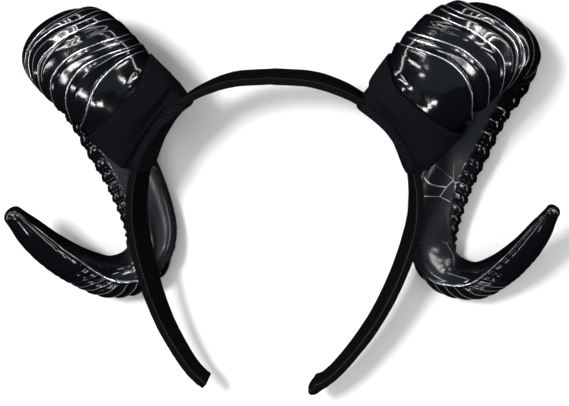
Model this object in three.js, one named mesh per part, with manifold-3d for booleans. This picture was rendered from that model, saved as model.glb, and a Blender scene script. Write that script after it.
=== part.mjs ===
// Covered headband with two ribbed, curled horns held on by fabric sleeves.
// It lies on the backs of its horns, front side up: X across, Y towards the crown, Z up.
import * as THREE from 'three';
import Module from 'manifold-3d';

const wasm = await Module();
wasm.setup();
const { Manifold, Mesh } = wasm;

// named sizes, mm
const HALF = 129;          // centre line of the whole to the outermost horn wall
const RISE = 160;          // crown of the band to its ends
const THICK = 66;          // table to the top of the horns
const GIRTH = 42;          // width of a horn at its foot
const BAND_WIDE = 18;      // band, front edge to back edge at the crown
const BAND_THIN = 3.6;     // band, inner face to outer face
const GAP = 0.3;           // air between pieces
const CLOTH = 1.3;         // fabric of a sleeve
const LEAN = THREE.MathUtils.degToRad(8.5);  // band plane against the table
const CROWN_Y = 60;        // crown of the band in the modelling frame
const CROWN_Z = 43.8;
const SWAY = -11;           // ends of the band to one side

// small helpers
const V = (x, y, z) => new THREE.Vector3(x, y, z);
const mix = (a, b, t) => a + (b - a) * t;
const clamp01 = (t) => Math.min(1, Math.max(0, t));
const smooth = (t) => { const u = clamp01(t); return u * u * (3 - 2 * u); };

// Catmull-Rom through rows of numbers; s runs 0 … rows-1
function through(rows, s) {
  const n = rows.length;
  const i = Math.min(n - 2, Math.max(0, Math.floor(s)));
  const t = s - i;
  const p = (k) => {
    if (k < 0) return rows[0].map((v, c) => 2 * v - rows[1][c]);
    if (k > n - 1) return rows[n - 1].map((v, c) => 2 * v - rows[n - 2][c]);
    return rows[k];
  };
  const [a, b, c, d] = [p(i - 1), p(i), p(i + 1), p(i + 2)];
  return b.map((_, k) => {
    const m0 = (c[k] - a[k]) / 2;
    const m1 = (d[k] - b[k]) / 2;
    const t2 = t * t;
    const t3 = t2 * t;
    const ends = (2 * t3 - 3 * t2 + 1) * b[k] + (3 * t2 - 2 * t3) * c[k];
    return ends + (t3 - 2 * t2 + t) * m0 + (t3 - t2) * m1;
  });
}

// closed body from rings of equal length, first and last ring capped by a centre point
function skin(rings, { capA = null, capB = null } = {}) {
  const m = rings[0].length;
  const verts = [];
  const tris = [];
  rings.forEach((r) => r.forEach((p) => verts.push(p.x, p.y, p.z)));
  for (let i = 0; i + 1 < rings.length; i++) {
    for (let j = 0; j < m; j++) {
      const a = i * m + j;
      const b = i * m + ((j + 1) % m);
      tris.push(a, b, b + m, a, b + m, a + m);
    }
  }
  const centre = (r) => r.reduce((s, p) => s.add(p), V(0, 0, 0)).multiplyScalar(1 / r.length);
  const ends = [[0, capA ?? centre(rings[0])], [rings.length - 1, capB ?? centre(rings[rings.length - 1])]];
  ends.forEach(([i, c], side) => {
    const k = verts.length / 3;
    verts.push(c.x, c.y, c.z);
    for (let j = 0; j < m; j++) {
      const a = i * m + j;
      const b = i * m + ((j + 1) % m);
      if (side === 0) tris.push(b, a, k);
      else tris.push(a, b, k);
    }
  });
  return { verts, tris };
}

function solid({ verts, tris }) {
  const mesh = new Mesh({ numProp: 3, vertProperties: new Float32Array(verts), triVerts: new Uint32Array(tris) });
  mesh.merge();
  let body = new Manifold(mesh);
  if (body.volume() < 0) {
    const back = [];
    for (let i = 0; i < tris.length; i += 3) back.push(tris[i], tris[i + 2], tris[i + 1]);
    const turned = new Mesh({ numProp: 3, vertProperties: new Float32Array(verts), triVerts: new Uint32Array(back) });
    body = new Manifold(turned);
  }
  return body;
}

// band
// one half from the crown to the end: x across, down from the crown (both shares of RISE),
// wide = share of BAND_WIDE, turn = degrees the section turns its inner face to the front
const ARC = [
  { x: 0.000, down: 0.000, wide: 1.00, turn: 0 },
  { x: 0.125, down: 0.012, wide: 1.00, turn: 0 },
  { x: 0.244, down: 0.065, wide: 1.00, turn: 4 },
  { x: 0.333, down: 0.152, wide: 1.00, turn: 10 },
  { x: 0.385, down: 0.266, wide: 1.00, turn: 14 },
  { x: 0.400, down: 0.385, wide: 0.97, turn: 15 },
  { x: 0.388, down: 0.492, wide: 0.92, turn: 15 },
  { x: 0.354, down: 0.620, wide: 0.84, turn: 14 },
  { x: 0.311, down: 0.730, wide: 0.76, turn: 12 },
  { x: 0.265, down: 0.815, wide: 0.70, turn: 10 },
  { x: 0.213, down: 0.892, wide: 0.64, turn: 8 },
  { x: 0.160, down: 0.943, wide: 0.58, turn: 6 },
];
const arcRows = ARC.map((r) => [r.x * RISE, -r.down * RISE, r.wide * BAND_WIDE, r.turn]);
const UP = V(0, Math.cos(LEAN), Math.sin(LEAN));       // towards the crown, in the band's plane
const FRONT = V(0, -Math.sin(LEAN), Math.cos(LEAN));   // out of the band's plane
const CROWN = V(0, CROWN_Y, CROWN_Z);

const bandPoint = (x, y, f) => V(x, 0, 0).add(CROWN).addScaledVector(UP, y).addScaledVector(FRONT, f);

// frame of the band at s in -(rows-1) … rows-1, negative on the left
function bandAt(s) {
  const side = s < 0 ? -1 : 1;
  const a = Math.abs(s);
  const [x, y, wide, turn] = through(arcRows, a);
  const e = 0.01;
  const [x0, y0] = through(arcRows, Math.max(0, a - e));
  const [x1, y1] = through(arcRows, Math.min(arcRows.length - 1, a + e));
  let tx = x1 - x0;
  let ty = y1 - y0;
  if (a < 1e-6) ty = 0;
  const l = Math.hypot(tx, ty);
  tx /= l;
  ty /= l;
  const sway = SWAY * Math.pow(clamp01((-y / RISE - 0.25) / 0.75), 1.4);
  const out = V(-ty * side, 0, 0).addScaledVector(UP, tx);          // away from the head
  const rad = THREE.MathUtils.degToRad(turn);
  const n = out.clone().multiplyScalar(Math.cos(rad)).addScaledVector(FRONT, -Math.sin(rad));
  const f = FRONT.clone().multiplyScalar(Math.cos(rad)).addScaledVector(out, Math.sin(rad));
  const along = V(tx * side, 0, 0).addScaledVector(UP, ty);
  return { p: bandPoint(x * side + sway, y, 0), n, f, along, wide };
}

// rounded rectangle ring: thin along n, wide along f
function bandRing(at, grow = 0, shrink = 1, corner = 1.1) {
  const hw = (at.wide / 2) * shrink + grow;
  const ht = (BAND_THIN / 2) * Math.sqrt(shrink) + grow;
  const r = Math.min(corner, ht * 0.8) + grow * 0.5;
  const ring = [];
  const quads = [[1, 1, 0], [-1, 1, 1], [-1, -1, 2], [1, -1, 3]];
  quads.forEach(([sn, sf, q]) => {
    for (const k of [0, 1]) {
      const ang = (q + k) * Math.PI / 2;
      const a = (ht - r) * sn + r * Math.cos(ang);
      const b = (hw - r) * sf + r * Math.sin(ang);
      ring.push(at.p.clone().addScaledVector(at.n, a).addScaledVector(at.f, b));
    }
  });
  return ring;
}

// body along the stations of the list; the two ends of the whole band are rounded off
const NOSE = [[1.8, 0.9], [3.4, 0.66], [4.2, 0.35]];
function bandBody(grow, list, round = false) {
  const rings = [];
  const nose = (at, sign, [off, k]) => {
    const p = at.p.clone().addScaledVector(at.along, sign * off);
    return bandRing({ ...at, p }, grow, k);
  };
  const first = bandAt(list[0]);
  const last = bandAt(list[list.length - 1]);
  if (round) [...NOSE].reverse().forEach((q) => rings.push(nose(first, -1, q)));
  list.forEach((s) => rings.push(bandRing(bandAt(s), grow)));
  if (round) NOSE.forEach((q) => rings.push(nose(last, 1, q)));
  return solid(skin(rings));
}

// one list of stations for the band and for what is cut to fit it; an odd count of steps
// leaves one flat facet inside the crown
const BAND_STEPS = 45;
const BAND_END = arcRows.length - 1;
const BAND_STOPS = Array.from({ length: BAND_STEPS + 1 }, (_, k) => mix(-BAND_END, BAND_END, k / BAND_STEPS));

// horn
// left horn along its length; x, y as shares of HALF, z of THICK, wide/out/back of GIRTH:
// wide = half width, out = depth of the ribbed side, back = depth of the smooth side,
// face = where the ribbed side looks, ribs = rolls so far, cut = rib depth as a share of GIRTH
const HORN = [
  { x: -0.420, y: 0.296, z: 0.636, wide: 0.500, out: 0.262, back: 0.252, face: [0, -0.05, 1], ribs: 0, cut: 0.000 },
  { x: -0.526, y: 0.391, z: 0.720, wide: 0.529, out: 0.381, back: 0.310, face: [0, 0, 1], ribs: 0, cut: 0.002 },
  { x: -0.595, y: 0.455, z: 0.735, wide: 0.548, out: 0.405, back: 0.310, face: [-0.2, 0.2, 1], ribs: 1.6, cut: 0.024 },
  { x: -0.667, y: 0.515, z: 0.667, wide: 0.550, out: 0.405, back: 0.310, face: [-0.4, 0.5, 0.8], ribs: 4.2, cut: 0.029 },
  { x: -0.731, y: 0.538, z: 0.530, wide: 0.520, out: 0.393, back: 0.298, face: [-0.5, 0.8, 0.3], ribs: 6.4, cut: 0.031 },
  { x: -0.762, y: 0.520, z: 0.348, wide: 0.471, out: 0.369, back: 0.274, face: [-0.5, 0.8, -0.5], ribs: 8.4, cut: 0.033 },
  { x: -0.742, y: 0.435, z: 0.203, wide: 0.405, out: 0.310, back: 0.238, face: [-0.3, 0.4, -1], ribs: 11.2, cut: 0.036 },
  { x: -0.685, y: 0.325, z: 0.174, wide: 0.343, out: 0.274, back: 0.226, face: [-0.2, 0.1, -1], ribs: 14.4, cut: 0.036 },
  { x: -0.628, y: 0.208, z: 0.174, wide: 0.324, out: 0.262, back: 0.214, face: [-0.2, 0, -1], ribs: 17.6, cut: 0.033 },
  { x: -0.567, y: 0.090, z: 0.164, wide: 0.314, out: 0.248, back: 0.171, face: [-0.15, -0.1, -1], ribs: 20.8, cut: 0.031 },
  { x: -0.520, y: -0.032, z: 0.155, wide: 0.300, out: 0.236, back: 0.162, face: [-0.05, -0.3, -1], ribs: 24.2, cut: 0.029 },
  { x: -0.497, y: -0.142, z: 0.153, wide: 0.281, out: 0.240, back: 0.171, face: [0.12, -0.35, -1], ribs: 27.2, cut: 0.026 },
  { x: -0.509, y: -0.233, z: 0.158, wide: 0.247, out: 0.235, back: 0.184, face: [0.4, -0.7, -0.9], ribs: 29.6, cut: 0.024 },
  { x: -0.565, y: -0.290, z: 0.170, wide: 0.234, out: 0.228, back: 0.200, face: [0.3, -1, -0.7], ribs: 31.6, cut: 0.021 },
  { x: -0.654, y: -0.305, z: 0.222, wide: 0.207, out: 0.208, back: 0.186, face: [0, -1, -0.7], ribs: 33.8, cut: 0.019 },
  { x: -0.740, y: -0.260, z: 0.324, wide: 0.190, out: 0.193, back: 0.172, face: [-0.3, -1, -0.7], ribs: 36.2, cut: 0.014 },
  { x: -0.819, y: -0.189, z: 0.452, wide: 0.172, out: 0.176, back: 0.156, face: [-0.4, -1, -0.6], ribs: 38.4, cut: 0.010 },
  { x: -0.886, y: -0.105, z: 0.568, wide: 0.146, out: 0.152, back: 0.132, face: [-0.5, -1, -0.5], ribs: 40.4, cut: 0.005 },
  { x: -0.935, y: -0.029, z: 0.662, wide: 0.106, out: 0.118, back: 0.102, face: [-0.6, -1, -0.4], ribs: 41.9, cut: 0.001 },
];
const hornRows = HORN.map((h) => [
  h.x * HALF, h.y * HALF, h.z * THICK,
  h.wide * GIRTH, h.out * GIRTH, h.back * GIRTH,
  ...h.face, h.ribs, h.cut * GIRTH,
]);

// the foot looks away from the chord of the seat, just clear of the outer face of the band
const SEAT = [2, 4];
const seatEnds = SEAT.map((s) => bandAt(-s).p);
const seatMid = seatEnds[0].clone().add(seatEnds[1]).multiplyScalar(0.5);
const seatOut = seatEnds[0].clone().sub(seatEnds[1]).normalize().cross(FRONT).negate();
if (seatOut.x > 0) seatOut.negate();
const bulge = bandAt(-(SEAT[0] + SEAT[1]) / 2).p.clone().sub(seatMid).dot(seatOut);
const foot = seatMid.clone().addScaledVector(seatOut, bulge + BAND_THIN / 2 + 1.6);
hornRows[0].splice(0, 3, foot.x, foot.y, foot.z);

// the right horn is the left one mirrored, turned a little in its sleeve and leaning outwards
const TURN = THREE.MathUtils.degToRad(3.2);
const LEAN_OUT = [-0.103, 0.03];   // shift across and along, per mm of height above the foot
const SPIN = V(0, 0, 1);
const mirrored = (v) => V(-v.x, v.y, v.z);

function hornPlace(s, side) {
  const r = through(hornRows, s);
  const p = V(r[0], r[1], r[2]);
  if (side < 0) return p;
  const from = mirrored(p.sub(foot)).applyAxisAngle(SPIN, TURN);
  from.x += LEAN_OUT[0] * from.z;
  from.y += LEAN_OUT[1] * from.z;
  return from.add(mirrored(foot));
}

function hornAt(s, side) {
  const r = through(hornRows, s);
  const e = 0.02;
  const along = hornPlace(Math.min(hornRows.length - 1, s + e), side);
  along.sub(hornPlace(Math.max(0, s - e), side)).normalize();
  const seat = side < 0 ? seatOut : mirrored(seatOut);
  if (s < 0.7) along.lerp(seat, 1 - smooth(s / 0.7)).normalize();
  const face = side < 0 ? V(r[6], r[7], r[8]) : V(-r[6], r[7], r[8]).applyAxisAngle(SPIN, TURN);
  face.addScaledVector(along, -face.dot(along)).normalize();
  const sideways = along.clone().cross(face).multiplyScalar(-side).normalize();
  const p = hornPlace(s, side);
  return { p, along, face, sideways, wide: r[3], out: r[4], back: r[5], ribs: r[9], cut: r[10] };
}

// ring of one station: round and ribbed towards face, flatter and smooth behind
const HORN_RING = 14;
function hornRing(at, { grow = 0, scale = 1, roll = null } = {}) {
  const ring = [];
  for (let j = 0; j < HORN_RING; j++) {
    const a = (j / HORN_RING) * Math.PI * 2;
    const c = Math.cos(a);
    const n = Math.sin(a);
    const flat = n < 0;
    const x = Math.sign(c) * Math.pow(Math.abs(c), flat ? 0.72 : 0.92);
    const y = flat ? -Math.pow(-n, 0.72) * at.back : Math.pow(n, 0.92) * at.out;
    const deep = at.cut * smooth((n + 0.45) / 0.6);
    const k = roll === null ? 0 : -deep * (1 - roll);
    const len = Math.hypot(x * at.wide, y) || 1;
    const f = scale * (1 + (k + grow) / len);
    ring.push(at.p.clone().addScaledVector(at.sideways, x * at.wide * f).addScaledVector(at.face, y * f));
  }
  return ring;
}

// where each roll starts, found by walking the rib count
function hornBody(side) {
  const rings = [];
  const last = hornRows.length - 1;
  const stops = [[0, 1], [0.35, 1], [0.7, 1], [1, 1]];
  const marks = [[0, 0], [0.3, 0.95], [0.7, 0.95]];
  let want = 0;
  let idx = 0;
  for (let s = 1.001; s <= last; s += 0.002) {
    const q = through(hornRows, s)[9];
    while (q >= want + marks[idx][0]) {
      stops.push([s, marks[idx][1]]);
      idx += 1;
      if (idx === marks.length) {
        idx = 0;
        want += 1;
      }
    }
  }
  stops.push([last, 1]);
  stops.forEach(([s, roll]) => rings.push(hornRing(hornAt(s, side), { roll })));
  const end = hornAt(last, side);
  for (const [off, k] of [[0.32, 0.93], [0.6, 0.74], [0.82, 0.45]]) {
    const tip = { ...end, p: end.p.clone().addScaledVector(end.along, off * end.wide) };
    rings.push(hornRing(tip, { scale: k }));
  }
  const nose = end.p.clone().addScaledVector(end.along, 0.92 * end.wide);
  return solid(skin(rings, { capB: nose }));
}

// sleeve
// rings from inside the band out to the mouth, left side; depth follows the band, then the horn
function sleeveLoft(side, extra) {
  const rings = [];
  const levels = 5;
  for (let i = 0; i <= levels; i++) {
    const t = i / levels;
    const at = hornAt(t, side);
    const k = smooth(t * 1.15);
    const ring = [];
    const n = 20;
    for (let j = 0; j < n; j++) {
      const a = (j / n) * Math.PI * 2;
      const c = Math.cos(a);
      const q = Math.sin(a);
      const flat = q < 0;
      const px = mix(0.45, flat ? 0.72 : 0.92, k);
      const x = Math.sign(c) * Math.pow(Math.abs(c), px) * (at.wide + extra);
      const depth = (flat ? at.back : at.out) + extra;
      const y = Math.sign(q) * Math.pow(Math.abs(q), px) * depth;
      ring.push(at.p.clone().addScaledVector(at.sideways, x).addScaledVector(at.face, y));
    }
    rings.push(ring);
  }
  const down = hornAt(0, side).along.multiplyScalar(-4.8);
  rings.unshift(rings[0].map((p) => p.clone().add(down)));
  return solid(skin(rings));
}

function hornCore(side, grow) {
  const rings = [];
  for (const s of [0, 0.35, 0.7, 1, 1.15]) rings.push(hornRing(hornAt(s, side), { grow }));
  rings.unshift(rings[0].map((p) => p.clone().addScaledVector(hornAt(0, side).along, -grow)));
  return solid(skin(rings));
}

function sleeveBody(side) {
  const [a, b] = side < 0 ? [-SEAT[1], -SEAT[0]] : SEAT;
  const inside = BAND_STOPS.filter((s) => s > a && s < b);
  const step = (2 * BAND_END) / BAND_STEPS;
  const wrap = bandBody(GAP + CLOTH, [a, ...inside, b]);
  const slot = bandBody(GAP + 0.02, BAND_STOPS.filter((s) => s > a - step * 1.5 && s < b + step * 1.5));
  return wrap.add(sleeveLoft(side, CLOTH + GAP)).subtract(hornCore(side, GAP + 0.28)).subtract(slot);
}

const bodies = {
  headband: [bandBody(0, BAND_STOPS, true), 0x101012],
  horn_left: [hornBody(-1), 0x0b0c0f],
  horn_right: [hornBody(1), 0x0b0c0f],
  sleeve_left: [sleeveBody(-1), 0x15161a],
  sleeve_right: [sleeveBody(1), 0x15161a],
};

// group
// moved so that the lowest point is on the table and the origin under the middle of the whole
const box = new THREE.Box3();
for (const [body] of Object.values(bodies)) {
  const { min, max } = body.boundingBox();
  box.expandByPoint(V(...min)).expandByPoint(V(...max));
}
const mid = box.getCenter(V(0, 0, 0));
const group = new THREE.Group();
for (const [name, [body, color]] of Object.entries(bodies)) {
  const m = body.translate([-mid.x, -mid.y, -box.min.z]).getMesh();
  const geo = new THREE.BufferGeometry();
  geo.setAttribute('position', new THREE.BufferAttribute(Float32Array.from(m.vertProperties), 3));
  geo.setIndex([...m.triVerts]);
  const mesh = new THREE.Mesh(geo, new THREE.MeshStandardMaterial({ color, roughness: 0.4 }));
  mesh.name = name;
  group.add(mesh);
}
export default group;
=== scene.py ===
# %% [markdown]
# Ram horns headband, a lesson in cells.
#
# The real thing is a flat plastic band covered in black fabric, with two glossy moulded horns.
# Each horn is held to the band by a sleeve of matte twill. The packed model gives the frame:
# the sizes, the place of each piece and how it rests. Here the surfaces get their true finish.

# %% Load the frame
import math
from types import SimpleNamespace

import bpy
import numpy as np
from mathutils import Matrix, Vector


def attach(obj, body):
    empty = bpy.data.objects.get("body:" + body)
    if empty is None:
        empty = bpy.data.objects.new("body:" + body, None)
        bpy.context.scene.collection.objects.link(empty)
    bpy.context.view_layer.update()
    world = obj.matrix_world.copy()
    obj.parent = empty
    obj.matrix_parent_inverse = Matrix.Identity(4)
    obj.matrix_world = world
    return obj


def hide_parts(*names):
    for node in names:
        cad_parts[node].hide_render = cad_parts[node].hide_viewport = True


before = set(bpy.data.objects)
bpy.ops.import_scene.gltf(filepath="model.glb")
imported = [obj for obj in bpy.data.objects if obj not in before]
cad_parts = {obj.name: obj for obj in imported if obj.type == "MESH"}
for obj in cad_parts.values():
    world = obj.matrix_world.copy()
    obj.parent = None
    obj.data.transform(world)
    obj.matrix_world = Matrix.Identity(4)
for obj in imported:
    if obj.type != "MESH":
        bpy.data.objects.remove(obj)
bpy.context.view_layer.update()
MM = 0.001
print("frame nodes:", sorted(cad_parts))

# %% [markdown]
# The photograph looks down on the piece from about 0.64 m, 11 degrees from the crown's side and
# 6 degrees from the right. A camera could be aimed by a constraint, but one that is placed by
# its target, its angles and its distance can be read and changed number by number.

# %% Camera
TARGET = Vector((2.07, 2.11, 30.36)) * MM
TO_CROWN = math.radians(10.7)
TO_RIGHT = math.radians(6.5)
TILTED = math.radians(-0.67)
DISTANCE = 639 * MM
PIXELS_WIDE = 569
LENS_PIXELS = 1395

level = math.cos(TO_CROWN)
toward = Vector((math.sin(TO_RIGHT) * level, math.sin(TO_CROWN), math.cos(TO_RIGHT) * level))
right = Vector((0, 1, 0)).cross(toward).normalized()
turn = Matrix((right, toward.cross(right), toward)).transposed().to_4x4()
camera_data = bpy.data.cameras.new("camera")
camera_data.sensor_width = 36
camera_data.lens = 36 * LENS_PIXELS / PIXELS_WIDE
camera_data.clip_start = 0.01
camera = bpy.data.objects.new("camera", camera_data)
bpy.context.collection.objects.link(camera)
tilt = Matrix.Rotation(TILTED, 4, "Z")
camera.matrix_world = Matrix.Translation(TARGET + toward * DISTANCE) @ turn @ tilt
bpy.context.scene.camera = camera
print("lens in mm:", round(camera_data.lens, 1))

# %% [markdown]
# Every piece here is a sheet rolled into its shape, as a cardboard model would be: a grid is
# added, each of its points is moved to where the surface runs, and the edges that meet are
# merged. Extrude or spin can't make rolls that overlap unevenly on a horn that bends, turns
# and tapers. The grid also keeps its flat map, which a weave can then follow.

# %% Rolling a grid into a shape
def alone(obj):
    """Select one object and nothing else."""
    bpy.ops.object.select_all(action="DESELECT")
    obj.select_set(True)
    bpy.context.view_layer.objects.active = obj


def lengths(points, axis):
    """How far each point of a sheet lies along it, in mm, from the first one."""
    steps = np.linalg.norm(np.diff(points, axis=axis), axis=-1) / MM
    zero = np.zeros_like(np.take(steps, [0], axis=axis))
    return np.cumsum(np.concatenate([zero, steps], axis=axis), axis=axis)


print("two points 5 mm apart:", lengths(np.array([[0, 0, 0], [0, 0, 5 * MM]]), 0).tolist())


# %% A sheet becomes a piece
def rolled(name, rows, around, surface, weave=None, cap_start=False):
    """A grid moved onto surface(u, v), its seams merged, its flat map counted in mm."""
    bpy.ops.object.select_all(action="DESELECT")
    bpy.ops.mesh.primitive_grid_add(x_subdivisions=rows, y_subdivisions=around, size=1, calc_uvs=True)
    piece = bpy.context.active_object
    piece.name = name
    mesh = piece.data
    mesh.name = name
    flat = np.empty(len(mesh.vertices) * 3)
    mesh.vertices.foreach_get("co", flat)
    u, v = flat.reshape(-1, 3)[:, :2].T + 0.5
    points, marks = surface(u, v)
    mesh.vertices.foreach_set("co", points.reshape(-1))
    # the vertices of a grid run along x first, then along y
    sheet = points.reshape(around + 1, rows + 1, 3)
    run = lengths(sheet, 1).mean(axis=0)[None, :] + np.zeros((around + 1, 1))
    girth = lengths(sheet, 0)
    girth = girth - girth[around // 2][None, :]
    if weave:
        run, girth = weave(run, girth, u.reshape(run.shape))
    corners = np.empty(len(mesh.loops), dtype=np.int32)
    mesh.loops.foreach_get("vertex_index", corners)
    spread = np.stack([run.reshape(-1), girth.reshape(-1)], axis=1)[corners]
    mesh.uv_layers.active.data.foreach_set("uv", spread.astype(np.float32).reshape(-1))
    mesh.uv_layers.active.name = "flat_mm"
    for label, value in marks.items():
        mesh.attributes.new(label, "FLOAT", "POINT").data.foreach_set("value", value.astype(np.float32))
    bpy.ops.object.mode_set(mode="EDIT")
    bpy.ops.mesh.select_all(action="SELECT")
    bpy.ops.mesh.remove_doubles(threshold=0.003 * MM)
    if cap_start:
        bpy.ops.mesh.select_all(action="DESELECT")
        bpy.ops.mesh.select_mode(type="EDGE")
        bpy.ops.mesh.select_non_manifold()
        bpy.ops.mesh.edge_face_add()
        bpy.ops.mesh.select_mode(type="VERT")
    bpy.ops.mesh.select_all(action="SELECT")
    bpy.ops.mesh.normals_make_consistent(inside=False)
    bpy.ops.object.mode_set(mode="OBJECT")
    bpy.ops.object.shade_smooth()
    print(name, "has", len(mesh.polygons), "faces")
    return piece


# %% [markdown]
# The shapes are drawn with a few curves: a step without corners, a hump, a bend that squares a
# circle, and a smooth line through the rows of a table. With them a form is a short sum.

# %% Curves to draw with
SQUARE = 0.72
ROUND = 0.92


def smooth(t):
    t = np.clip(t, 0, 1)
    return t * t * (3 - 2 * t)


def rising(value, start, wide):
    return smooth((value - start) / wide)


def falling(value, start, wide):
    return 1 - smooth((value - start) / wide)


def hump(value, middle, wide):
    return np.exp(-(((value - middle) / wide) ** 2))


def between(table, s):
    """A table of pairs read at s, with straight lines between its rows."""
    return np.interp(s, table[:, 0], table[:, 1])


def mix(a, b, t):
    return a + (b - a) * t


def unit(v):
    return v / np.linalg.norm(v, axis=-1, keepdims=True)


def bent(t, power):
    """A power that keeps the sign."""
    return np.sign(t) * np.abs(t) ** power


def through(table, s):
    """A smooth curve through the rows of a table; s counts rows."""
    rows = np.vstack([2 * table[0] - table[1], table, 2 * table[-1] - table[-2]])
    i = np.clip(np.floor(s).astype(int), 0, len(table) - 2)
    t = (s - i)[..., None]
    a, b, c, d = (rows[i + k] for k in range(4))
    ends = (2 * t**3 - 3 * t**2 + 1) * b + (3 * t**2 - 2 * t**3) * c
    return ends + (t**3 - 2 * t**2 + t) * (c - a) / 2 + (t**3 - t**2) * (d - b) / 2


print("a smooth step at a quarter:", float(smooth(0.25)))

# %% [markdown]
# The band is a flat plastic strip, bent to an arc, and everything sits on it, so it is worked
# out first. A bent curve would do, but a short table from the crown down one arm also holds
# its width and twist. The arms lie a little to one side, as a springy band does.

# %% The band's arc
HALF = 129 * MM
RISE = 160 * MM
THICK = 66 * MM
GIRTH = 42 * MM
BAND_WIDE = 18 * MM
BAND_THIN = 3.6 * MM
GAP = 0.3 * MM
CLOTH = 1.3 * MM
LEAN = math.radians(8.5)
MOVED = np.array([-0.975, 1.488, 0.224]) * MM
CROWN = np.array([0, 60, 43.8]) * MM + MOVED
SWAY = -11 * MM
UP = np.array([0, math.cos(LEAN), math.sin(LEAN)])
FRONT = np.array([0, -math.sin(LEAN), math.cos(LEAN)])

# %% From the crown down one arm
# across, down from the crown, width, and degrees that the inner face turns to the front
ARC = np.array([
    (0.000, 0.000, 1.00, 0),
    (0.125, 0.012, 1.00, 0),
    (0.244, 0.065, 1.00, 4),
    (0.333, 0.152, 1.00, 10),
    (0.385, 0.266, 1.00, 14),
    (0.400, 0.385, 0.97, 15),
    (0.388, 0.492, 0.92, 15),
    (0.354, 0.620, 0.84, 14),
    (0.311, 0.730, 0.76, 12),
    (0.265, 0.815, 0.70, 10),
    (0.213, 0.892, 0.64, 8),
    (0.160, 0.943, 0.58, 6),
]) * [RISE, -RISE, BAND_WIDE, 1]
BAND_END = len(ARC) - 1


def band_at(s):
    """Middle of the band and its directions; s is negative on the left arm."""
    side = np.where(s < 0, -1.0, 1.0)
    a = np.abs(s)
    x, y, wide, turned = through(ARC, a).T
    step = through(ARC, np.minimum(a + 0.01, BAND_END)) - through(ARC, np.maximum(a - 0.01, 0))
    tangent = step[:, :2]
    tangent[a < 1e-6, 1] = 0
    tangent = unit(tangent)
    sway = SWAY * np.clip((-y / RISE - 0.25) / 0.75, 0, 1) ** 1.4
    across = np.array([1.0, 0, 0])
    outward = across * (-tangent[:, 1] * side)[:, None] + UP * tangent[:, :1]
    turned = np.radians(turned)[:, None]
    n = outward * np.cos(turned) - FRONT * np.sin(turned)
    f = FRONT * np.cos(turned) + outward * np.sin(turned)
    along = across * (tangent[:, 0] * side)[:, None] + UP * tangent[:, 1:2]
    p = CROWN + across * (x * side + sway)[:, None] + UP * y[:, None]
    return p, n, f, along, wide


print("band ends at, in mm:", np.round(band_at(np.array([-BAND_END, BAND_END]))[0] / MM, 1).tolist())

# %% [markdown]
# The cover of the band is one strip of fabric pulled tight over flat plastic. Its corners are
# crisp where it turns, its ends are folded in, which leaves small lumps there, and two painted
# highlight lines run along its front edges. It is one rolled sheet, so that the weave follows it.

# %% The covered band
NOSE = 4.2 * MM
CUT_LEFT = 0.12
ENDS_FROM = 0.02
# where the two painted highlight lines lie round the band: degrees, width, strength
EDGE_HIGHLIGHT_LINES = ((135, 12, 1.0), (62, 10, 0.7))


def band_surface(u, v):
    run = mix(-BAND_END + CUT_LEFT, BAND_END, np.clip((u - ENDS_FROM) / (1 - 2 * ENDS_FROM), 0, 1))
    past = np.clip(ENDS_FROM - u, 0, 1) / ENDS_FROM + np.clip(u - (1 - ENDS_FROM), 0, 1) / ENDS_FROM
    p, n, f, along, wide = band_at(run)
    sign = np.where(u < 0.5, -1.0, 1.0)
    p = p + along * (sign * np.sin(past * math.pi / 2) * NOSE)[:, None]
    shrink = np.cos(np.clip(past, 0, 1) * math.pi / 2)
    c, q = np.cos(v * 2 * math.pi), np.sin(v * 2 * math.pi)
    crisp = 0.2 + 0.6 * smooth(past * 1.5)
    thin = bent(c, crisp) * BAND_THIN / 2 * np.sqrt(shrink)
    broad = bent(q, crisp) * wide / 2 * np.sqrt(shrink)
    end = smooth((np.abs(run) - BAND_END + 1.1) / 1.1)
    lumps = np.sin(run * 9 + q * 2) * 0.18 + np.sin(run * 17 - q * 3 + 1) * 0.12
    slack = np.sin(run * 5.3 + 0.7) * 0.05 + np.sin(run * 13.1 + q) * 0.03
    thin = thin + c * (lumps * end + slack) * MM * shrink
    middle = np.cos(np.pi * np.clip(broad / (wide / 2 + 1e-9), -1, 1)) ** 2
    belly = 1 - 0.06 * middle * (c < 0)
    fold = 0.9 * MM * hump(run - BAND_END, -0.22, 0.12) * (c < 0)
    p = p + n * (thin * belly - fold)[:, None] + f * broad[:, None]
    # the seam mark holds the two painted highlight lines, made paler in the finish
    seam = sum(much * hump(v * 360, middle, wide) for middle, wide, much in EDGE_HIGHLIGHT_LINES)
    return p, {"seam": seam * shrink}


band = rolled("band_cover", 360, 56, band_surface)

# %% [markdown]
# A horn is a tube that bends in every direction, flat on its inner side and rolled outside.
# A table gives its middle line, its width and depth and the side that the rolls face, as
# shares of the whole.

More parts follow.
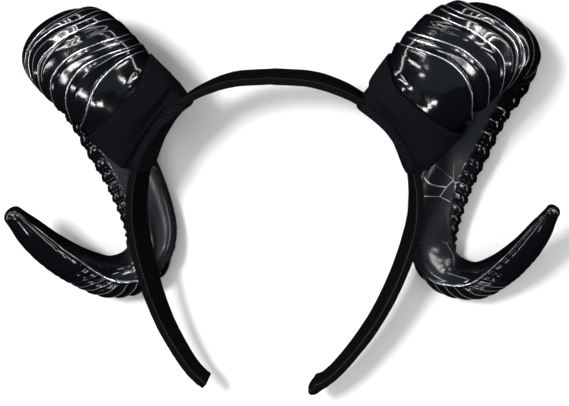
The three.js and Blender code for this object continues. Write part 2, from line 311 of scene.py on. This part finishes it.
# %% The horn's table
# across, to the crown, up, half width, depth of ribbed side, depth of smooth side,
# direction of the ribbed side, rolls so far, depth of a valley
HORN = np.array([
    ( -0.420,   0.296,  0.636,  0.500,  0.262,  0.252,     0, -0.05,     1,     0,  0.000),
    ( -0.526,   0.391,  0.720,  0.529,  0.381,  0.310,     0,     0,     1,     0,  0.002),
    ( -0.595,   0.455,  0.735,  0.548,  0.405,  0.310,  -0.2,   0.2,     1,   1.6,  0.024),
    ( -0.667,   0.515,  0.667,  0.550,  0.405,  0.310,  -0.4,   0.5,   0.8,   4.2,  0.029),
    ( -0.731,   0.538,  0.530,  0.520,  0.393,  0.298,  -0.5,   0.8,   0.3,   6.4,  0.031),
    ( -0.762,   0.520,  0.348,  0.471,  0.369,  0.274,  -0.5,   0.8,  -0.5,   8.4,  0.033),
    ( -0.742,   0.435,  0.203,  0.405,  0.310,  0.238,  -0.3,   0.4,    -1,  11.2,  0.036),
    ( -0.685,   0.325,  0.174,  0.343,  0.274,  0.226,  -0.2,   0.1,    -1,  14.4,  0.036),
    ( -0.628,   0.208,  0.174,  0.324,  0.262,  0.214,  -0.2,     0,    -1,  17.6,  0.033),
    ( -0.567,   0.090,  0.164,  0.314,  0.248,  0.171, -0.15,  -0.1,    -1,  20.8,  0.031),
    ( -0.520,  -0.032,  0.155,  0.300,  0.236,  0.162, -0.05,  -0.3,    -1,  24.2,  0.029),
    ( -0.497,  -0.142,  0.153,  0.281,  0.240,  0.171,  0.12, -0.35,    -1,  27.2,  0.026),
    ( -0.509,  -0.233,  0.158,  0.247,  0.235,  0.184,   0.4,  -0.7,  -0.9,  29.6,  0.024),
    ( -0.565,  -0.290,  0.170,  0.234,  0.228,  0.200,   0.3,    -1,  -0.7,  31.6,  0.021),
    ( -0.654,  -0.305,  0.222,  0.207,  0.208,  0.186,     0,    -1,  -0.7,  33.8,  0.019),
    ( -0.740,  -0.260,  0.324,  0.190,  0.193,  0.172,  -0.3,    -1,  -0.7,  36.2,  0.014),
    ( -0.819,  -0.189,  0.452,  0.172,  0.176,  0.156,  -0.4,    -1,  -0.6,  38.4,  0.010),
    ( -0.886,  -0.105,  0.568,  0.146,  0.152,  0.132,  -0.5,    -1,  -0.5,  40.4,  0.005),
    ( -0.935,  -0.029,  0.662,  0.106,  0.118,  0.102,  -0.6,    -1,  -0.4,  41.9,  0.001),
]) * ([HALF, HALF, THICK, GIRTH, GIRTH, GIRTH] + [1] * 4 + [GIRTH])
HORN_END = len(HORN) - 1
print("stations along a horn:", len(HORN))

# %% [markdown]
# The foot of a horn stands on the chord of the band where its sleeve is. The right horn is the
# left one mirrored, then turned a few degrees and leaning outwards, as it sits in its sleeve.

# %% The foot of a horn
SEAT = (2, 4)
seat_ends = band_at(np.array([-SEAT[0], -SEAT[1]], float))[0]
seat_mid = seat_ends.mean(axis=0)
SEAT_OUT = np.cross(unit(seat_ends[0] - seat_ends[1]), FRONT)
SEAT_OUT = unit(-SEAT_OUT if SEAT_OUT[0] > 0 else SEAT_OUT)
bulge = (band_at(np.array([-sum(SEAT) / 2]))[0][0] - seat_mid) @ SEAT_OUT
FOOT = seat_mid + SEAT_OUT * (bulge + BAND_THIN / 2 + 1.6 * MM) - MOVED
HORN[0, :3] = FOOT
TURN = math.radians(3.2)
SPIN = np.array([
    [math.cos(TURN), -math.sin(TURN), 0],
    [math.sin(TURN), math.cos(TURN), 0],
    [0, 0, 1],
])
LEAN_OUT = np.array([-0.103, 0.03, 0])
MIRROR = np.array([-1.0, 1, 1])
print("foot of the left horn, in mm:", np.round((FOOT + MOVED) / MM, 1).tolist())


# %% Along a horn
def horn_place(s, side):
    """Points of the middle line of the left (-1) or right (1) horn."""
    p = through(HORN, s)[:, :3]
    if side < 0:
        return p + MOVED
    away = ((p - FOOT) * MIRROR) @ SPIN.T
    away = away + LEAN_OUT * away[:, 2:]
    return away + FOOT * MIRROR + MOVED


def horn_at(s, side):
    """The row of sizes, the middle line and its directions."""
    row = through(HORN, s)
    ahead = horn_place(np.minimum(s + 0.02, HORN_END), side)
    along = unit(ahead - horn_place(np.maximum(s - 0.02, 0), side))
    seat = SEAT_OUT if side < 0 else SEAT_OUT * MIRROR
    along = unit(mix(seat[None], along, smooth(s / 0.7)[:, None]))
    face = row[:, 6:9] if side < 0 else (row[:, 6:9] * MIRROR) @ SPIN.T
    face = unit(face - along * np.sum(face * along, axis=1, keepdims=True))
    return row, horn_place(s, side), along, face, np.cross(along, face) * -side


print("tips, in mm:", [np.round(horn_place(np.array([HORN_END]), k) / MM).tolist() for k in (-1, 1)])

# %% [markdown]
# The rolls of a horn overlap like stacked cups: each swells slowly and drops at a sharp lip,
# and that lip is what catches the light. A lip runs unevenly round the horn. The first six
# are measured, so a table holds how far along the horn each lies at 13 angles, and those
# further on are counted from the horn's table.

# %% Where the rolls are
fine_s = np.linspace(0, HORN_END, 6001)
fine_run = lengths(horn_place(fine_s, -1), 0)
fine_count = np.maximum.accumulate(np.maximum(through(HORN, fine_s)[:, 9], 0))
# how far along the horn the first six lips lie, in mm, every 30 degrees round it from -90
LIPS = np.array([
    [24.0, 24.0, 24.0, 24.2, 26.0, 27.7, 28.0, 25.6, 23.6, 22.6, 22.6, 23.2, 24.0],
    [27.5, 27.2, 27.0, 27.2, 28.9, 31.8, 33.8, 32.4, 28.6, 27.0, 26.6, 27.0, 27.5],
    [33.5, 33.2, 33.2, 33.4, 33.3, 35.8, 39.2, 40.0, 36.8, 34.4, 33.6, 33.4, 33.5],
    [41.0, 41.0, 41.0, 41.3, 41.2, 42.1, 45.2, 48.1, 46.0, 43.4, 42.0, 41.2, 41.0],
    [47.0, 47.0, 47.0, 47.2, 45.8, 45.9, 50.2, 53.1, 52.4, 49.6, 48.0, 47.2, 47.0],
    [51.5, 51.5, 51.5, 51.6, 50.8, 50.0, 53.4, 55.6, 56.2, 54.0, 52.4, 51.7, 51.5],
])
MIDDLE = 6
FIRST_LIPS = len(LIPS)
front_run = LIPS[:, MIDDLE]
behind = fine_run > front_run[-1]
DENSER = np.array([[4, 0.72], [7, 0.76], [11, 0.95], [12, 1.25]])
counted = np.diff(fine_count, prepend=fine_count[0]) * between(DENSER, fine_s)
counted = np.cumsum(counted)
counted += FIRST_LIPS - np.interp(front_run[-1], fine_run, counted)
knots_run = np.concatenate([[0.0], front_run, fine_run[behind]])
knots_roll = np.concatenate([[0.0], np.arange(1, FIRST_LIPS + 1), counted[behind]])
ROLLS = knots_roll[-1]
TIP_RUN = fine_run[-1]
print("rolls:", round(float(ROLLS), 1), "length in mm:", round(float(TIP_RUN)))

# %% [markdown]
# A sharp lip needs points close together, and the slope behind it only a few. So the rows of
# the grid are laid by the roll and not by the millimetre: 19 to a roll, most near its lip.

# %% Rows of the grid
STEPS_IN_ROLL = np.array([
    0, 0.02, 0.05, 0.08, 0.11, 0.14, 0.18, 0.23, 0.28, 0.34,
    0.41, 0.48, 0.55, 0.61, 0.68, 0.78, 0.88, 0.94, 0.98,
])
TIP_ROWS = 9
all_rolls = (np.arange(1, int(ROLLS) + 1)[:, None] + STEPS_IN_ROLL).reshape(-1)
first_roll = 1 - np.linspace(1, 0, 34)[:-1] ** 1.6
roll_rows = np.concatenate([first_roll, all_rolls[all_rolls < ROLLS - 0.05], [ROLLS]])
HORN_ROWS = len(roll_rows) + TIP_ROWS - 1
print("rows of the grid:", HORN_ROWS)

# %% [markdown]
# Round the horn an angle runs from the side nearest the head (0) over the middle of the
# rolled face (90) to the outer side (180) and the middle of the smooth face (270). The rolls
# end at a ridge on each flank, and one ridge runs down the whole tail with a painted highlight
# line along it. What changes along the horn is kept in tables, each with the station first.

# %% What changes along the horn
# the angles where the rolled face starts and stops
RIB_FROM = np.array([
    [0, -25], [4.5, -18], [6.5, 4], [10.5, 8], [12.5, -8], [13.3, -22],
    [14, -40], [14.6, -54], [15.5, -68], [16.5, -75], [18, -70],
])
RIB_TO = np.array([[0, 205], [4.3, 210], [6, 252], [9.5, 252], [11, 232], [12.5, 176], [18, 172]])
# how far the ribs slant, how deep their valleys are and how high the ridge is, in mm
SLANT = np.array([[0, 0], [5, 0], [6.5, 1.5], [10.5, 2.5], [12, 11.5], [14, 12.5], [16.5, 0]])
VALLEY = np.array([
    [0, 0], [1.0, 0.4], [1.3, 1.7], [2.2, 2.5], [4, 2.5], [5, 1.8], [9, 1.5],
    [11, 1.6], [12, 2.0], [13.8, 1.8], [15, 0.5], [16.5, 0.12], [18, 0.02],
])
RIDGE = np.array([[0, 0], [4, 0.1], [7, 0.3], [12, 0.5], [13.5, 0.9], [16.5, 0.8], [18, 0.2]])
# how strongly a painted highlight line is drawn along each lip
LIP_HIGHLIGHT_LINE = np.array([
    [0, 0], [1.2, 0], [1.5, 1], [4.6, 1], [6, 0.25],
    [10.5, 0.2], [11.5, 0.75], [14, 0.7], [15.2, 0],
])
# a little more or less flesh than the packed horn, in mm, on the left (-1) and the right (1)
GROW = {
    -1: np.array([[0, 0], [5, 0], [6, 0.3], [10.5, 0.4], [12, 1.2], [16, 1.0], [18, 0.5]]),
    1: np.array([[0, 0], [5, 0], [6, 0.3], [11, 0], [15, -0.4], [18, -0.8]]),
}
print("deepest valley in mm:", VALLEY[:, 1].max(), "steepest slant in mm:", SLANT[:, 1].max())


# %% Where each point of the grid lies
def horn_grid(u, v):
    """Each point's roll, angle and place along the horn; past grows from 0 to 1 over the tip."""
    at = SimpleNamespace()
    row = np.clip(np.round(u * HORN_ROWS).astype(int), 0, HORN_ROWS)
    at.roll = roll_rows[np.minimum(row, len(roll_rows) - 1)]
    at.past = np.clip((row - len(roll_rows) + 1) / TIP_ROWS, 0, 1)
    at.angle = v * 2 * math.pi
    at.degrees = (v * 360 + 90) % 360 - 90
    at.c, at.n = np.cos(at.angle), np.sin(at.angle)
    at.run = np.interp(at.roll, knots_roll, knots_run)
    at.s = np.interp(at.run, fine_run, fine_s)
    at.start = between(RIB_FROM, at.s)
    at.stop = between(RIB_TO, at.s)
    edge = mix(24.0, 11.0, smooth((at.s - 4) / 2))
    at.ribbed = smooth((at.degrees - at.start) / edge) * smooth((at.stop - at.degrees) / edge)
    at.ribbed = at.ribbed * (1 - 0.55 * rising(at.c, 0.72, 0.28) * falling(at.s, 4.5, 1))
    return at


def lip_shift(roll, degrees):
    """How far a line of constant roll runs before or behind its place on the rolled face."""
    across = through(LIPS.T, np.clip((degrees + 90) / 30, 0, 12)) - front_run
    still = np.zeros((len(roll), 1))
    across = np.concatenate([still, across, still], axis=1)
    at = np.clip(roll, 0, FIRST_LIPS + 1)
    low = np.minimum(np.floor(at).astype(int), FIRST_LIPS)
    rows = np.arange(len(roll))
    return mix(across[rows, low], across[rows, low + 1], at - low)


def slid(at):
    """Where a point lies along the horn once its lip is bent, its rib slanted and it sags."""
    free = smooth(at.roll / 0.5) * smooth((ROLLS - at.roll) / 3)
    span = np.clip((at.degrees - at.start) / (at.stop - at.start), 0, 1)
    shift = lip_shift(at.roll, at.degrees) + between(SLANT, at.s) * np.sin(math.pi * span)
    sag = 0.3 * np.sin(2 * at.angle + 1.9 * at.roll) + 0.2 * np.sin(3 * at.angle - 2.3 * at.roll + 1)
    shift = shift + sag * np.clip(at.n + 0.3, 0, 1)
    return np.interp(np.clip(at.run + shift * free, 0, TIP_RUN), fine_run, fine_s)


print("lips bend by up to, in mm:", round(float(np.abs(LIPS - front_run[:, None]).max()), 1))

# %% [markdown]
# A roll drops steeply behind its lip and then swells to the next one, with a small shelf on
# the way. Down the back the rolls shrink to beads, like a rope. On the right horn the first
# two rolls run together. Each of these is a curve over t, the share of the roll that is past.

# %% The form of one roll
RIM_WIDE = 0.26


def shape_rolls(at, side):
    """Adds the number of the roll, its height, where its shelf lies for a painted highlight, and its rim to
    the points.
    """
    which = np.floor(at.roll)
    t = at.roll - which
    if side > 0:
        t = np.where(at.roll < 2, at.roll / 2, t)
        which = np.where(at.roll < 2, 0, which)
    drop = 0.15 + 0.02 * np.sin(which * 4.1)
    rise = np.clip((t - drop) / (1 - drop), 0, 1)
    bend = 0.60 + 0.08 * np.sin(which * 2.3 + at.angle)
    behind_lip = 0.5 + 0.5 * np.cos(math.pi * t / drop)
    cup = np.where(t < drop, behind_lip, 0.9 * np.clip(rise / bend, 0, 1) ** 1.15 + 0.1 * rise)
    cup = np.where(which < 1, 0.45 + 0.55 * smooth((t - 0.5) / 0.5), cup)
    bead = np.abs(np.cos(math.pi * t)) ** 0.6
    at.height = mix(cup, bead, rising(at.s, 4.6, 1.2) * 0.8)
    # a mark for a painted highlight line along each shelf
    at.shelf = hump(rise, bend, 0.045) * (which > 0)
    at.shelf = at.shelf * smooth((95 - at.degrees) / 40) * falling(at.s, 4.3, 0.6)
    to_lip = np.abs(at.run - np.interp(np.round(at.roll), knots_roll, knots_run))
    at.rim = hump(to_lip, 0, RIM_WIDE) * (at.roll > (0.5 if side < 0 else 1.5))
    at.which, at.t = which, t


def valleys(at):
    """How far the surface lies under its lips."""
    uneven = 1 + 0.22 * np.sin(at.which * 12.9898) * np.cos(at.which * 3.7)
    valley = between(VALLEY, at.s) * MM * uneven * at.ribbed * (1 - at.height)
    near_head = rising(at.c, -0.05, 0.5) * at.ribbed
    groove = hump(at.t, 0.62, 0.05) * ((at.which == 3) | (at.which == 2)) * 0.6 * MM * near_head
    later = hump(at.t - 0.20 - 0.03 * np.sin(at.which), 0, 0.05)
    later = later + hump(at.t, 0.80, 0.05) * (at.which % 2)
    later = later * rising(at.s, 5, 1.5) * falling(at.s, 11, 2) * 0.34 * MM * at.ribbed
    return valley + groove + later


def ridges(at, side):
    """What stands out from the surface, in mm."""
    ridge = between(RIDGE, at.s) * hump(at.degrees - at.start, 1, 5)
    back = 0.35 * rising(at.s, 5.5, 1.5) * falling(at.s, 10.5, 1.5) * hump(at.degrees - at.stop, -2, 5)
    lip = 0.28 * at.rim * at.ribbed * rising(at.s, 1.2, 0.3) * falling(at.s, 4.8, 0.8)
    front = rising(at.s, 1.25, 0.7) * falling(at.s, 4.2, 1.2)
    grow = between(GROW[side], at.s) + front * (0.5 + 1.6 * np.cos(at.angle - math.radians(20)))
    waves = 0.10 * np.sin(2.7 * at.s + at.angle) * np.sin(1.1 * at.s + 2 * at.angle)
    return ridge + back + lip + grow + waves


print("a rim fades over, in mm:", RIM_WIDE)


# %% [markdown]
# Some marks are kept on the points for the finish: the painted highlight lines along lips, shelves
# and the tail's ridge, which faces are the smooth inner ones, and where the foot has small ripples.
# Then the surface is the middle line plus a squared circle, with the valleys taken off and the ridges put
# on.

# %% The surface of a horn
def horn_marks(at):
    # The lip mark is painted highlight: a line along each lip and its shelf, and one down the tail's ridge.
    line = at.rim * at.ribbed * between(LIP_HIGHLIGHT_LINE, at.s)
    tail_ridge_highlight = 1.2 * hump(at.degrees - at.start, 0, 3) * rising(at.s, 11.5, 1.5) * falling(at.s, 17, 0.8)
    inner = rising(at.s, 6, 1.5) * falling(at.s, 12, 1.5) * (1 - at.ribbed)
    ripple = (at.which < 1) * rising(at.run, 8, 4) * smooth((25 - at.run) / 3) * rising(at.c, 0.1, 0.4)
    lip = np.maximum(line + 0.85 * at.shelf * at.ribbed, 0.8 * tail_ridge_highlight) * (1 - at.past)
    return {"inner": inner, "ripple": ripple, "lip": lip}


def horn_surface(side):
    def surface(u, v):
        at = horn_grid(u, v)
        shape_rolls(at, side)
        row, p, along, face, sideways = horn_at(slid(at), side)
        flat = at.n < 0
        power = np.where(flat, SQUARE, ROUND)
        taper = 1 - 0.12 * rising(at.s, 17.0, 1.0)
        x = bent(at.c, power) * row[:, 3] * taper
        y = bent(at.n, power) * np.where(flat, row[:, 5], row[:, 4]) * taper
        relief = ridges(at, side) * MM * (1 - at.past) - valleys(at)
        k = (1 + relief / np.hypot(x, y)) * np.cos(at.past * math.pi / 2)
        p = p + along * (np.sin(at.past * math.pi / 2) * 0.92 * row[:, 3] * taper)[:, None]
        skin = p + sideways * (x * k)[:, None] + face * (y * k)[:, None]
        skin[:, 2] = np.maximum(skin[:, 2], 0)
        return skin, horn_marks(at)

    return surface


horn_left = rolled("ribbed_horn_left", HORN_ROWS, 96, horn_surface(-1), cap_start=True)
horn_right = rolled("ribbed_horn_right", HORN_ROWS, 96, horn_surface(1), cap_start=True)

# %% [markdown]
# The sleeve is a bag of twill. Its mouth grips the horn, it grows square towards the band,
# pulls in at a crease, and then wraps the band so closely that it takes the band's own shape.
# A cloth simulation could drape it, but a tight bag has no free folds, so it is rolled from
# the mouth to the seam under the band and then given the thickness of cloth.

# %% The sleeves
ON_HORN = 0.6
CREASE = 0.72
STRIP = 0.86
BOX = 0.42
# how far the cloth stands off the band's middle, in mm, and its width against the band's
LEVEL = np.array([[ON_HORN, 3.4], [CREASE, 1.1], [STRIP, -3.1], [1, -3.45]])
BREADTH = np.array([
    [ON_HORN, 1.22], [CREASE - 0.03, 1.10], [CREASE, 1.04], [CREASE + 0.04, 1.09],
    [STRIP - 0.03, 1.09], [STRIP, 1.0], [1, 0],
])


def sleeve_surface(side):
    def surface(u, v):
        angle = v * 2 * math.pi
        c, n = np.cos(angle), np.sin(angle)
        flat = n < 0
        down = np.clip(u / ON_HORN, 0, 1)
        s = (1.03 + 0.20 * smooth((c - 0.45) / 0.55)) * (1 - down)
        row, p, along, face, sideways = horn_at(s, side)
        k = smooth((1 - down) * 1.15)
        power = mix(BOX, np.where(flat, SQUARE, ROUND), k)
        grow = CLOTH + GAP
        x = bent(c, power) * (row[:, 3] + grow)
        y = bent(n, power) * (np.where(flat, row[:, 5], row[:, 4]) + grow)
        on_horn = p + sideways * x[:, None] + face * y[:, None]

        share = bent(c, BOX)
        q, out, f, _, wide = band_at(side * (sum(SEAT) / 2 - share * (SEAT[1] - SEAT[0]) / 2 * 1.02))
        level = between(LEVEL, u) * MM + np.interp(u, [ON_HORN, CREASE], [1, 0]) * bulge * share**2
        half = bent(n, BOX) * (wide / 2 + grow) * between(BREADTH, u)
        on_band = q + out * level[:, None] + f * half[:, None]
        w = smooth((u - ON_HORN) / (CREASE - ON_HORN))[:, None]
        return mix(on_horn, on_band, w), {}

    return surface


print("mouth, crease and seam at", ON_HORN, CREASE, STRIP, "of the sheet")


# %% Cloth for the sleeves
def sleeve_weave(run, girth, u):
    """On the band the cloth is turned, so its lines run another way."""
    turned = u > CREASE
    return run, np.where(turned, girth * 0.42 + run * 0.66, girth * 0.95 - run * 0.31)


def sleeve(name, side):
    piece = rolled(name, 110, 150, sleeve_surface(side), weave=sleeve_weave)
    alone(piece)
    wall = piece.modifiers.new("wall", "SOLIDIFY")
    wall.thickness = 1.1 * MM
    wall.offset = -1
    wall.use_even_offset = False
    bpy.ops.object.modifier_apply(modifier="wall")
    return piece


sleeve_left = sleeve("twill_sleeve_left", -1)
sleeve_right = sleeve("twill_sleeve_right", 1)

# %% [markdown]
# A material's pattern is arithmetic on numbers that change over the surface. One small class
# wraps a socket, so that the arithmetic is written as it is on paper and adds its own nodes.

# %% Sockets that add up
class Wire:
    def __init__(self, tree, socket):
        self.tree = tree
        self.socket = socket

    def node(self, kind, inputs=(), output=0, **settings):
        """Any node: its settings first, then its sockets by name or number."""
        made = self.tree.nodes.new(kind)
        for key, value in settings.items():
            setattr(made, key, value)
        for key, value in dict(inputs).items():
            if isinstance(value, Wire):
                self.tree.links.new(value.socket, made.inputs[key])
            else:
                made.inputs[key].default_value = value
        return Wire(self.tree, made.outputs[output])

    def maths(self, operation, other=0.0, swap=False):
        pair = (other, self) if swap else (self, other)
        return self.node("ShaderNodeMath", {0: pair[0], 1: pair[1]}, operation=operation)

    def __add__(self, other):
        return self.maths("ADD", other)

    __radd__ = __add__

    def __mul__(self, other):
        return self.maths("MULTIPLY", other)

    __rmul__ = __mul__

    def __sub__(self, other):
        return self.maths("SUBTRACT", other)

    def __rsub__(self, other):
        return self.maths("SUBTRACT", other, swap=True)

    def sine(self):
        return self.maths("SINE")

    def clamped(self, low, high):
        """A smooth step from 0 at low to 1 at high."""
        return self.node("ShaderNodeMapRange", {0: self, 1: low, 2: high}, interpolation_type="SMOOTHSTEP")

    def noise(self, scale, detail, rough=0.5):
        sockets = {"Vector": self, "Scale": scale, "Detail": detail, "Roughness": rough}
        return self.node("ShaderNodeTexNoise", sockets)

    def mark(self, name):
        """A mark that was kept on the points."""
        return self.node("ShaderNodeAttribute", output="Fac", attribute_name=name)

    def blend(self, first, second):
        """From one colour to another as this value goes from 0 to 1."""
        return self.node("ShaderNodeMix", {"Factor": self, 6: first, 7: second}, output=2, data_type="RGBA")


def material(name):
    """A new material with one principled shader: its tree, shader and a starting wire."""
    made = bpy.data.materials.new(name)
    made.use_nodes = True
    tree = made.node_tree
    shader = tree.nodes["Principled BSDF"]
    return made, tree, shader, Wire(tree, None)


def plug(tree, wire, shader, name):
    tree.links.new(wire.socket, shader.inputs[name])


print("a wire can do:", [name for name in vars(Wire) if not name.startswith("_")])


# %% [markdown]
# The horns are black moulded plastic with a high gloss. What makes them real is the surface:
# very slight waves and pits left by the mould, small ripples at the foot, lips painted pale
# and metallic as highlights, and smooth inner faces that are duller and a little creased,
# with thin pale lines along the creases. A painted image could hold all this, but
# waves as a bump and marks on the points stay sharp however near one looks.

# %% Glossy horn
BLACK = (0.0022, 0.0026, 0.0036, 1)
COOL_BLACK = (0.0045, 0.0050, 0.0068, 1)
DULL = (0.014, 0.0158, 0.0195, 1)
PALE_PAINTED_LINES = (0.62, 0.65, 0.70, 1)
RIPPLE_PITCH = 3.4


def horn_finish():
    made, tree, shader, start = material("black_gloss_horn")
    place = start.node("ShaderNodeTexCoord", output="Object")
    waves = place.noise(95.0, 3.0, 0.55)
    pits = place.noise(700.0, 2.0)
    cloud = place.noise(30.0, 2.0)
    cell = start.node("ShaderNodeTexVoronoi", {"Vector": place, "Scale": 60.0}, feature="DISTANCE_TO_EDGE")
    inner = start.mark("inner")
    crease = (1 - cell.clamped(0.002, 0.010)) * inner * cloud.clamped(0.55, 0.66) * 0.75
    # Painted highlight: the lip mark turns lips, shelves and the tail's ridge pale and metallic in place of
    # the light they would catch; crease edges on the inner faces get thin pale lines.
    lip_highlight_and_crease_lines = (start.mark("lip") * (0.35 + 1.1 * waves) + crease).clamped(0.25, 0.75)
    plug(tree, lip_highlight_and_crease_lines.blend(inner.blend(cloud.blend(BLACK, COOL_BLACK), DULL), PALE_PAINTED_LINES), shader, "Base Color")
    plug(tree, lip_highlight_and_crease_lines, shader, "Metallic")
    plug(tree, 0.05 + 0.08 * cloud + 0.05 * pits + 0.15 * lip_highlight_and_crease_lines + 0.08 * inner, shader, "Roughness")
    run = start.node("ShaderNodeSeparateXYZ", {0: start.node("ShaderNodeUVMap", uv_map="flat_mm")})
    ripple = (run * (2 * math.pi / RIPPLE_PITCH) + waves * 5).sine() * 0.5 + 0.5
    height = waves * 0.8 + pits * 0.06 - crease * 0.3 + ripple * start.mark("ripple") * 1.3
    bump = start.node("ShaderNodeBump", {"Height": height, "Strength": 0.3, "Distance": 0.5 * MM})
    plug(tree, bump, shader, "Normal")
    shader.inputs["IOR"].default_value = 1.5
    return made


gloss = horn_finish()
print(gloss.name, "has", len(gloss.node_tree.nodes), "nodes")

# %% [markdown]
# Twill shows fine raised lines. A picture of cloth would smear at the folds, so the lines are
# counted along the piece's own flat map: so many across the sheet. A second, finer count gives
# the single threads. Cloth this black hardly shines; the band's two painted highlight lines are paler.

# %% Twill and band fabric
# the pale grey of the band's painted highlight lines
HIGHLIGHT_LINE_GREY = (0.055, 0.057, 0.062, 1)
WHOLE_TURN = 2 * math.pi


def fabric(name, pitch, thread, wobble, dark, light, rough, strength):
    made, tree, shader, start = material(name)
    flat = start.node("ShaderNodeUVMap", uv_map="flat_mm")
    run = start.node("ShaderNodeSeparateXYZ", {0: flat})
    girth = start.node("ShaderNodeSeparateXYZ", {0: flat}, output=1)
    place = start.node("ShaderNodeTexCoord", output="Object")
    fuzz = place.noise(900.0, 3.0, 0.7)
    drift = place.noise(60.0, 2.0)
    line = ((girth * (1 / pitch) + drift * wobble) * WHOLE_TURN).sine() * 0.5 + 0.5
    yarn = ((run * (1 / thread) + girth * (0.5 / thread)) * WHOLE_TURN).sine() * 0.5 + 0.5
    height = line * 0.7 + line * yarn * 0.25 + fuzz * 0.25
    shade = (line * 0.55 + fuzz * 0.45).clamped(0.25, 0.95)
    # Painted highlight: the seam mark, the band's two lines along its front edges, blends towards a pale
    # grey.
    painted_edge_line = (start.mark("seam") * (0.3 + 0.9 * fuzz)).clamped(0.15, 0.9)
    plug(tree, painted_edge_line.blend(shade.blend((*dark, 1), (*light, 1)), HIGHLIGHT_LINE_GREY), shader, "Base Color")
    plug(tree, rough + 0.12 * (1 - line), shader, "Roughness")
    bump = start.node("ShaderNodeBump", {"Height": height, "Strength": strength, "Distance": 0.22 * MM})
    plug(tree, bump, shader, "Normal")
    shader.inputs["Specular IOR Level"].default_value = 0.02
    return made


twill = fabric(
    "matte_twill", pitch=1.05, thread=0.5, wobble=0.35, rough=0.72, strength=0.9,
    dark=(0.0010, 0.0012, 0.0017), light=(0.0125, 0.0142, 0.0185),
)
cover = fabric(
    "band_satin_weave", pitch=0.55, thread=0.4, wobble=0.2, rough=0.55, strength=0.6,
    dark=(0.0014, 0.0015, 0.0019), light=(0.0072, 0.0078, 0.0088),
)
print("fabrics:", twill.name, "and", cover.name)

# %% [markdown]
# Each piece now takes its finish, stands for its solid in the frame and rides on the one
# body, because nothing on a headband moves.

# %% Finish and place the pieces
PIECES = [
    (band, cover, "headband", "band_fabric"),
    (horn_left, gloss, "horn_left", "horn"),
    (horn_right, gloss, "horn_right", "horn"),
    (sleeve_left, twill, "sleeve_left", "sleeve_fabric"),
    (sleeve_right, twill, "sleeve_right", "sleeve_fabric"),
]
for piece, finish, node, slot in PIECES:
    piece.data.materials.clear()
    piece.data.materials.append(finish)
    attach(piece, "root")
    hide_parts(node)
    print(piece.name, "stands for", node)

# %% [markdown] A plain pale floor, which gloss does not mirror here, because a white floor
# would turn the edges of a black horn grey. A photographer would hang dark cloth beside it
# for that.

# %% Floor
bpy.ops.object.select_all(action="DESELECT")
bpy.ops.mesh.primitive_plane_add(size=3.4, location=(0, 0, -0.2 * MM))
floor = bpy.context.active_object
floor.name = "floor"
floor_look, floor_tree, floor_shader, _ = material("pale_floor")
floor_shader.inputs["Base Color"].default_value = (0.93, 0.93, 0.93, 1)
floor_shader.inputs["Roughness"].default_value = 0.9
floor_shader.inputs["Specular IOR Level"].default_value = 0.2
floor.data.materials.append(floor_look)
floor.visible_glossy = False
print("floor in m:", [round(side, 2) for side in floor.dimensions])

# %% [markdown]
# Gloss black is seen by what it mirrors, and cloth by what falls on it, so two sets of soft
# lights share the work. The key and the ceiling light the cloth and the floor and throw the
# shadows. Thin panes, small windows and cards are seen by gloss alone: each stands where a
# roll, a tail or the foot of a horn mirrors it. One set could do both, but then every change
# to a highlight would change the shadows too.

# %% Soft lights
def soft_box(name, away, around, height, size, radiance, seen_by, tone=(1, 1, 1)):
    """A rectangular light aimed at the piece: distance, compass angle and height in degrees."""
    data = bpy.data.lights.new(name, "AREA")
    data.shape = "RECTANGLE"
    data.size, data.size_y = size
    data.energy = radiance * math.pi * size[0] * size[1]
    lamp = bpy.data.objects.new(name, data)
    bpy.context.collection.objects.link(lamp)
    around = math.radians(around)
    height = math.radians(height)
    low = math.cos(height)
    place = Vector((low * math.sin(around), low * math.cos(around), math.sin(height))) * away
    lamp.location = place
    lamp.rotation_euler = place.to_track_quat("Z", "Y").to_euler()
    lamp.visible_camera = False
    data.color = tone
    if seen_by == "gloss":
        lamp.visible_diffuse = False
    if seen_by == "cloth":
        lamp.visible_glossy = False


soft_box("key", 1.25, -44, 65, (0.22, 0.22), 80, "cloth")
for number, around in enumerate((38, 50.5, 63.6)):
    soft_box("pane_left_%d" % number, 0.82, -around, 46, (0.022, 0.46), 46, "gloss")
    soft_box("pane_right_%d" % number, 0.82, around, 46, (0.022, 0.46), 46, "gloss")
soft_box("window_low_a", 0.82, -150, 58, (0.11, 0.07), 28, "gloss")
soft_box("window_low_b", 0.79, -172, 60.5, (0.11, 0.07), 28, "gloss")
soft_box("window_left", 0.9, -100, 44, (0.05, 0.12), 24, "gloss")
soft_box("window_arc_right", 0.8, -84, 68, (0.05, 0.12), 26, "gloss")
soft_box("window_arc_left", 0.8, 90, 57, (0.05, 0.12), 26, "gloss")
soft_box("strip_top", 0.9, 0, 40, (0.5, 0.03), 22, "gloss")
soft_box("card_left", 0.8, -75, 18, (1.0, 0.05), 14, "gloss")
soft_box("card_top", 0.8, 0, 18, (0.9, 0.05), 14, "gloss")
soft_box("card_right", 0.8, 75, 18, (1.0, 0.05), 14, "gloss")
soft_box("sky", 0.7, 0, 80, (0.95, 0.70), 0.26, "gloss", (0.74, 0.88, 1.0))
soft_box("ceiling", 1.6, 0, 88, (2.4, 2.4), 1.7, "cloth")
print("soft lights:", len(bpy.data.lights))

# %% [markdown]
# The room is an even pale grey that the camera sees beyond the floor. It lights nothing, so
# that the shadows keep their depth and the gloss stays black.

# %% Room
world = bpy.data.worlds.new("room")
bpy.context.scene.world = world
world.use_nodes = True
world.node_tree.nodes["Background"].inputs[0].default_value = (0.82, 0.83, 0.84, 1)
world.cycles_visibility.diffuse = False
world.cycles_visibility.glossy = False
bpy.context.scene.view_settings.view_transform = "Standard"
print("room:", world.name)
